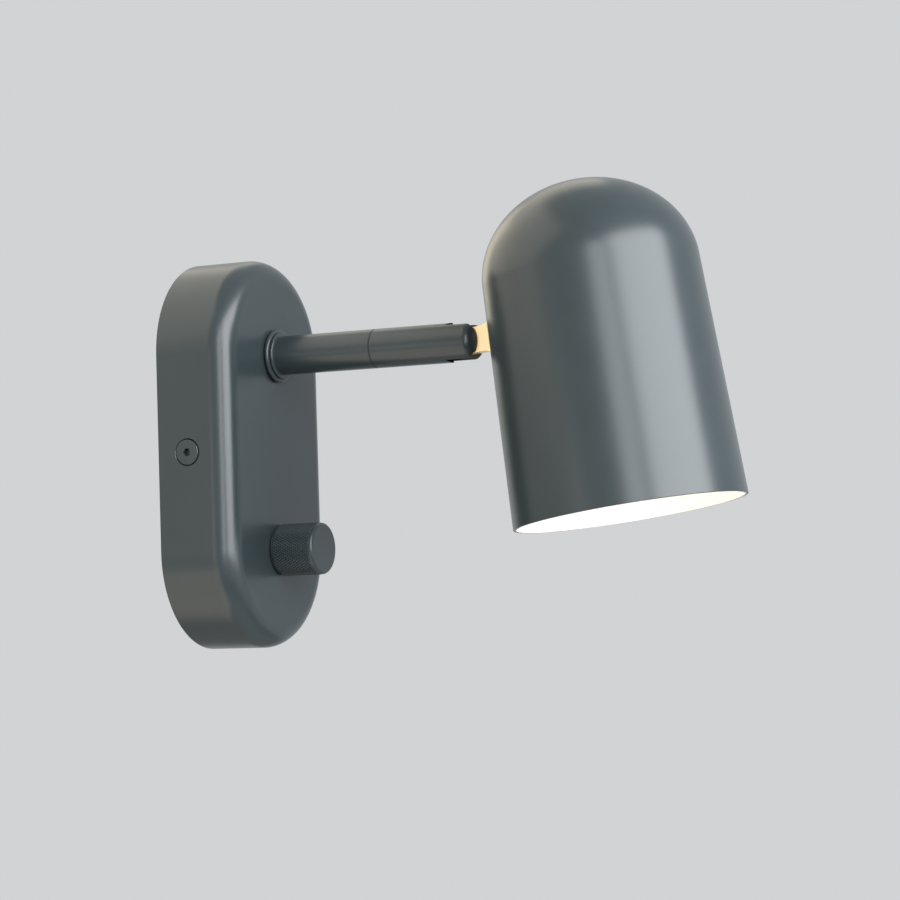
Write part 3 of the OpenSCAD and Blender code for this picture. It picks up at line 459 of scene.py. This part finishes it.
# Each square is split to its middle, the squares' own edges go, and diamonds are left
square_edges = [e for e in knob.edges if not e.is_boundary]
bmesh.ops.poke(knob, faces=knob.faces)
bmesh.ops.dissolve_edges(knob, edges=square_edges, use_verts=False)
bmesh.ops.poke(knob, faces=[f for f in knob.faces if len(f.verts) == 4], offset=knurl_depth)
for outline in (front_outline, back_outline):
    points = [knob.verts.new((r, 0, z)) for r, z in outline]
    edges = [knob.edges.new(pair) for pair in zip(points, points[1:])]
    bmesh.ops.spin(knob, geom=points + edges, cent=(0, 0, 0), axis=(0, 0, 1),
                   angle=2 * math.pi, steps=knurl_columns, use_merge=True)
bmesh.ops.remove_doubles(knob, verts=knob.verts, dist=0.001)
bmesh.ops.recalc_face_normals(knob, faces=knob.faces)
piece("knurled_knob", knob, knob_place, "knob", "slate_paint", ["knob"], slate)

# Arm collar
# A turned ring with two round beads that covers the hole where the arm enters the housing.
arm_place = Matrix.Translation((0, 0, arm_up)) @ wall_place
arm_round = 8
collar_end = 36.6
large_bead = 11
small_bead = 9.7
collar = turned([(stud_hole_round, housing_out), (9.3, housing_out), (9.3, 33.4),
                 (large_bead, 33.4), (large_bead, 35.3), (9, 35.3), (9, 35.32),
                 (small_bead, 35.32), (small_bead, collar_end), (stud_hole_round, collar_end)], 96)
round_off(collar, lambda v: v.xy.length > large_bead - 0.1, 0.93, 5)
round_off(collar, lambda v: abs(v.xy.length - small_bead) < 0.1 and v.z > 35, 0.62, 4)
piece("beaded_collar", collar, arm_place, "wall", "slate_paint", ["arm_collar"], slate)

# Inner arm with its washer and nut
# A turned steel tube whose threaded stud goes through the housing, powder-coated.
inner_end = 80
spindle_hole_round = 4.02
stop_pin_round = 0.82
inner = turned([(3, 23.6), (5, 23.6), (5, collar_end), (arm_round, collar_end),
                (arm_round, inner_end), (spindle_hole_round, inner_end),
                (spindle_hole_round, 67), (3, 67)], 96)
round_off(inner, lambda v: v.xy.length > arm_round - 0.1 and v.z > inner_end - 1, 0.2, 2)
inner = carve(inner, rod(stop_pin_round, 76, 81, 24, Matrix.Translation((0, -6, 0))))
piece("inner_arm_tube", inner, arm_place, "wall", "slate_paint", ["inner_arm"], slate)
dress(zinc, "arm_washer")
dress(brass, "arm_nut")

# Swivel
# A brass spindle screwed into the inner arm, a spring ring that holds the outer arm on it, and
# a stop pin in the inner arm's end.
dress(brass, "swivel_spindle")
dress(zinc, "swivel_ring", "stop_pin")

# Outer arm
# A turned tube with a domed nose that is slotted into two ears, powder-coated.
pin_out = 118
outer_start = 80.5
nose_start = 122
nose_length = 5.2
slot_half = 3.7
slot_root = 8.8
slot_run = 40
outer = bmesh.new()
bmesh.ops.create_uvsphere(outer, u_segments=96, v_segments=48, radius=arm_round)
bmesh.ops.bisect_plane(outer, geom=outer.verts[:] + outer.edges[:] + outer.faces[:],
                       plane_co=(0, 0, 0), plane_no=(0, 0, 1), clear_inner=True)
bmesh.ops.scale(outer, vec=(1, 1, nose_length / arm_round), verts=outer.verts)
bmesh.ops.translate(outer, vec=(0, 0, nose_start), verts=outer.verts)
rim = [e for e in outer.edges if e.is_boundary]
drawn_out = bmesh.ops.extrude_edge_only(outer, edges=rim)["geom"]
bmesh.ops.translate(outer, vec=(0, 0, outer_start - nose_start),
                    verts=[v for v in drawn_out if isinstance(v, bmesh.types.BMVert)])
bmesh.ops.contextual_create(outer, geom=[e for e in outer.edges if e.is_boundary])
bmesh.ops.recalc_face_normals(outer, faces=outer.faces)
round_off(outer, lambda v: v.z < outer_start + 0.1, 0.2, 2)
# The spindle's bore and the narrower one for the leads
outer = carve(outer, turned([(0, 79), (4.05, 79), (4.05, 97.8), (3.5, 97.8), (3.5, pin_out),
                             (0, pin_out)]))
slot = pill(slot_root, slot_run, -slot_half, slot_half, steps=128)
across = Matrix.Rotation(math.radians(90), 4, "Y")
bmesh.ops.transform(slot, verts=slot.verts, matrix=Matrix.Translation(
    (0, 0, pin_out + slot_run / 2)) @ across @ Matrix.Rotation(math.radians(90), 4, "Z"))
outer = carve(outer, slot)
round_off(outer, lambda v: abs(abs(v.x) - slot_half) < 0.01 and v.z > nose_start - 13, 0.35, 3)
# The hinge screw's thread, shoulder and head
screw_bore = [(0, -6.6), (1.52, -6.6), (1.52, -2), (2.05, -2), (2.05, 5.5), (3.3, 5.5),
              (3.3, 9), (0, 9)]
outer = carve(outer, turned(screw_bore, 48, Matrix.Translation((0, 0, pin_out)) @ across))
piece("outer_arm_tube", outer, arm_place, "outer_arm", "slate_paint", ["outer_arm"], slate)

# Hinge screw, washers and the leads that cross the joint
# A socket-head shoulder screw through both ears, with nylon friction washers on each side.
dress(zinc, "hinge_screw")
# Nylon: white, smooth, a little waxy
nylon, tree = new_material("white nylon")
wax = noise(tree, 2, 2)
coat(tree, {"Base Color": linear("#D8D7CF"), "Roughness": between(tree, wax, 0.35, 0.5)})
dress(nylon, "hinge_washers", "saddle_washer")

# Up and out along the arm, from the spindle over the pin
joint_route = [(0, 97.5), (0, 99), (0.76, 103.4), (2.28, 109.3), (3.53, 113.65), (3.8, 117.25),
               (3.8, 118)]
lead_round = 0.75
lead_aside = 0.85
route = bpy.data.curves.new("joint route", "CURVE")
route.dimensions = "3D"
route.bevel_depth = lead_round
route.bevel_resolution = 3
route.use_fill_caps = True
for side in (-lead_aside, lead_aside):
    spline = route.splines.new("BEZIER")
    spline.bezier_points.add(len(joint_route) - 1)
    for knot, (up, out) in zip(spline.bezier_points, joint_route):
        knot.co = (side, up, out)
        knot.handle_left_type = knot.handle_right_type = "AUTO"
curve = bpy.data.objects.new("joint route", route)
scene.collection.objects.link(curve)
leads_mesh = bpy.data.meshes.new_from_object(
    curve.evaluated_get(bpy.context.evaluated_depsgraph_get()))
bpy.data.objects.remove(curve)
bpy.data.curves.remove(route)
leads_mesh.name = "joint_lead_pair"
leads_mesh.transform(millimetres @ arm_place)
leads_mesh.shade_smooth()
leads_mesh.materials.clear()
leads_mesh.materials.append(white_pvc)
joint_leads = bpy.data.objects.new("joint_lead_pair", leads_mesh)
scene.collection.objects.link(joint_leads)
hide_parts("joint_leads")
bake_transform(joint_leads)

# Shade
# One spun aluminium shell, tapered, with a domed top and a thin plain rim. It is
# powder-coated slate outside and white inside.
shade_rim = 46
shade_wall = 1.2
shade_taper = 1.9
dome_round = 42.84
dome_share = 0.87
dome_up = 94.73
knuckle_length = 16.65
knuckle_fall = 6.1
entry_up = 79.5
entry_round = shade_rim - entry_up * math.tan(math.radians(shade_taper))
knuckle_place = arm_place @ Matrix.Translation((0, 0, pin_out)) @ Matrix.Rotation(
    math.radians(-knuckle_fall), 4, "X")
shade_place = knuckle_place @ Matrix.Translation((0, 0, knuckle_length)) @ Matrix.Rotation(
    math.radians(-90 - shade_taper), 4, "X") @ Matrix.Translation((0, -entry_round, -entry_up))

# Polyester powder coat, white: matt, so that it spreads the bulb's light
white_coat, tree = new_material("matt white powder coat")
peel = noise(tree, 0.5, 2)
coat(tree, {"Base Color": linear("#F1F0EC"), "Roughness": between(tree, peel, 0.5, 0.6),
            "Normal": relief(tree, peel, 0.25, 0.03)})


def shade_shell(rim, dome, start):
    """A closed solid of the shade's form: a round dome drawn down into the tapered side."""
    bm = bmesh.new()
    bmesh.ops.create_uvsphere(bm, u_segments=128, v_segments=80, radius=dome)
    tangent = dome * math.sin(math.atan(dome_share * math.tan(math.radians(shade_taper))))
    bmesh.ops.bisect_plane(bm, geom=bm.verts[:] + bm.edges[:] + bm.faces[:],
                           plane_co=(0, 0, tangent), plane_no=(0, 0, 1), clear_inner=True)
    bmesh.ops.scale(bm, vec=(1, 1, dome_share), verts=bm.verts)
    bmesh.ops.translate(bm, vec=(0, 0, dome_up), verts=bm.verts)
    edge = [e for e in bm.edges if e.is_boundary]
    drawn = bmesh.ops.extrude_edge_only(bm, edges=edge)["geom"]
    lower = [v for v in drawn if isinstance(v, bmesh.types.BMVert)]
    spread = rim / lower[0].co.xy.length
    bmesh.ops.scale(bm, vec=(spread, spread, 1), verts=lower)
    bmesh.ops.translate(bm, vec=(0, 0, start - lower[0].co.z), verts=lower)
    bmesh.ops.contextual_create(bm, geom=[e for e in bm.edges if e.is_boundary])
    bmesh.ops.recalc_face_normals(bm, faces=bm.faces)
    return bm


# The hollow starts a little below the rim, where it is that much wider
below_rim = 1
flat_wall = shade_wall / math.cos(math.radians(shade_taper))
inner_rim = shade_rim - flat_wall + below_rim * math.tan(math.radians(shade_taper))
shade = carve(shade_shell(shade_rim, dome_round, 0),
              shade_shell(inner_rim, dome_round - flat_wall, -below_rim))
shade = carve(shade, rod(stud_hole_round, 11, 20, 48, shade_place.inverted() @ knuckle_place))
# Faces that look inwards take the white coat
for face in shade.faces:
    middle = face.calc_center_median()
    outwards = middle - Vector((0, 0, min(middle.z, dome_up)))
    face.material_index = 1 if face.normal.dot(outwards) < 0 else 0
round_off(shade, lambda v: abs(v.z) < 0.01 and v.xy.length > shade_rim - 0.1, 0.25, 2)
piece("spun_shade", shade, shade_place, "shade", "slate_paint", ["shade"], slate, white_coat)

# Knuckle
# A machined brass tongue and neck that turns between the ears and flares to a foot on the
# shade. Its hollow stud goes through the shade's wall and takes the leads.
# Satin brass: pale and warm, with faint lines along the neck that blur its gloss
bright_brass, tree = new_material("satin brass")
lines = noise(tree, 0.3, 3, stretch=(1, 0.08, 1))
coat(tree, {"Base Color": linear("#F4DBAC"), "Metallic": 1,
            "Roughness": between(tree, lines, 0.28, 0.36)})

tongue_half = 3.1
tongue_round = 6.2
neck_top, neck_low = 4.6, -5.6
foot_half = 8.5
foot_start = 15.65
foot_end = 17.65
foot_round = 6.5
fillet = 5.2
fillet_steps = 12
end_steps = 32
stud_round = 5
stud_end = 26.55
pin_hole_round = 2.05
boss_round = 2.9
boss_half = 3
pocket_start, pocket_end = -7, 5.4
pocket_wide = 3.8
pocket_tall = 20
web_top = -2.45
web_tall = 10
web_long = 6
# The side view, as (up, out): the upper fillet, the foot, the lower fillet, and the round end
outline = []
for edge_up, start in ((neck_top, 10.5), (neck_low, 10.9)):
    side = 1 if edge_up > 0 else -1
    rise = foot_half - abs(edge_up)
    reach = math.acos(1 - rise / fillet)
    turns = [reach * i / fillet_steps for i in range(fillet_steps + 1)]
    curve = [(edge_up + side * fillet * (1 - math.cos(turn)), start + fillet * math.sin(turn))
             for turn in turns]
    curve.append((side * foot_half, foot_end))
    outline = outline + curve if side > 0 else outline + curve[::-1]
back_low = math.atan2(neck_low, math.sqrt(tongue_round ** 2 - neck_low ** 2))
back_top = math.atan2(neck_top, math.sqrt(tongue_round ** 2 - neck_top ** 2)) - 2 * math.pi
for i in range(end_steps + 1):
    turn = back_low + (back_top - back_low) * i / end_steps
    outline.append((tongue_round * math.sin(turn), tongue_round * math.cos(turn)))
knuckle = bmesh.new()
face = knuckle.faces.new([knuckle.verts.new((-tongue_half, up, out)) for up, out in outline])
pushed = bmesh.ops.extrude_face_region(knuckle, geom=[face])["geom"]
bmesh.ops.translate(knuckle, vec=(2 * tongue_half, 0, 0),
                    verts=[v for v in pushed if isinstance(v, bmesh.types.BMVert)])
bmesh.ops.recalc_face_normals(knuckle, faces=knuckle.faces)
round_off(knuckle, lambda v: abs(v.x) > tongue_half - 0.01 and v.z < foot_end - 0.65, 0.25, 2)
knuckle = carve(knuckle, rod(foot_round, foot_start, foot_end, 96), "UNION")
seat = shade_shell(shade_rim, dome_round, 0)
bmesh.ops.transform(seat, matrix=knuckle_place.inverted() @ shade_place, verts=seat.verts)
knuckle = carve(knuckle, seat)
knuckle = carve(knuckle, rod(stud_round, foot_start + 0.05, stud_end), "UNION")
knuckle = carve(knuckle, rod(pin_hole_round, -2 * tongue_half, 2 * tongue_half, 48, across))
# A pocket for the leads, with the pin's boss and a web under it left standing
pocket = bmesh.new()
bmesh.ops.create_cube(pocket, size=1, matrix=Matrix.Translation(
    (0, 0, (pocket_start + pocket_end) / 2)) @ Matrix.Diagonal(
        (pocket_wide, pocket_tall, pocket_end - pocket_start, 1)))
pocket = carve(pocket, rod(boss_round, -boss_half, boss_half, place=across))
web = bmesh.new()
bmesh.ops.create_cube(web, size=1, matrix=Matrix.Translation(
    (0, web_top - web_tall / 2, web_long / 2)) @ Matrix.Diagonal(
        (pocket_wide + 1.2, web_tall, web_long, 1)))
knuckle = carve(knuckle, carve(pocket, web))
# The leads' bore through the neck and the wider one through the stud
knuckle = carve(knuckle, turned([(0, 5.3), (2.1, 5.3), (2.1, knuckle_length),
                                 (2.5, knuckle_length), (2.5, stud_end + 1),
                                 (0, stud_end + 1)], 48))
piece("brass_knuckle", knuckle, knuckle_place, "shade", "brass", ["knuckle"], bright_brass)
dress(brass, "stud_nut")

# Lamp holder on its bracket
# A bent steel strip under the knuckle's nut carries a two-part holder of black plastic with a
# brass screw shell and centre contact.
dress(zinc, "holder_bracket", "holder_nipple", "holder_nut")
dress(black_abs, "holder_cap", "holder_skirt")
dress(brass, "holder_shell", "holder_contact")

# Bulb
# A small LED bulb with an opal globe, a white collar, a plated screw cap, and a board of
# light-emitting diodes inside. It is lit.
# Opal polycarbonate: even milky white that glows
opal, tree = new_material("opal polycarbonate")
cloud = noise(tree, 6, 1)
coat(tree, {"Base Color": shades(tree, cloud, "#F4F1EA", "#FAF8F3"), "Roughness": 0.4,
            "Emission Color": linear("#FFFAF2"), "Emission Strength": 3.0})

globe_round = 22.5
globe_wall = 1.2
globe_up = 35.5
globe_top = 15
globe = bmesh.new()
bmesh.ops.create_uvsphere(globe, u_segments=64, v_segments=48, radius=globe_round)
bmesh.ops.bisect_plane(globe, geom=globe.verts[:] + globe.edges[:] + globe.faces[:],
                       plane_co=(0, 0, globe_top), plane_no=(0, 0, 1), clear_outer=True)
bmesh.ops.recalc_face_normals(globe, faces=globe.faces)
bmesh.ops.solidify(globe, geom=globe.faces[:], thickness=globe_wall)
bmesh.ops.translate(globe, vec=(0, 0, globe_up), verts=globe.verts)
piece("opal_globe", globe, shade_place, "shade", "opal_bulb", ["bulb_globe"], opal)

# Moulded polybutylene collar: white with a soft gloss
collar_white, tree = new_material("white moulded collar")
flow = noise(tree, 5, 2)
coat(tree, {"Base Color": linear("#E8E7E2"), "Roughness": between(tree, flow, 0.34, 0.44)})
dress(collar_white, "bulb_collar")
dress(zinc, "bulb_cap", "bulb_tip")
dress(black_abs, "bulb_insulator")
# Glass-fibre board with white solder mask: flat, faintly woven
board, tree = new_material("white board")
at = add(tree, "TexCoord").outputs["Object"]
weave = add(tree, "TexChecker", {"Vector": at, "Scale": grain(0.8), "Color1": linear("#E9EAE4"),
                                 "Color2": linear("#DEDFD8")})
coat(tree, {"Base Color": weave.outputs[0], "Roughness": 0.5})
dress(board, "led_board")
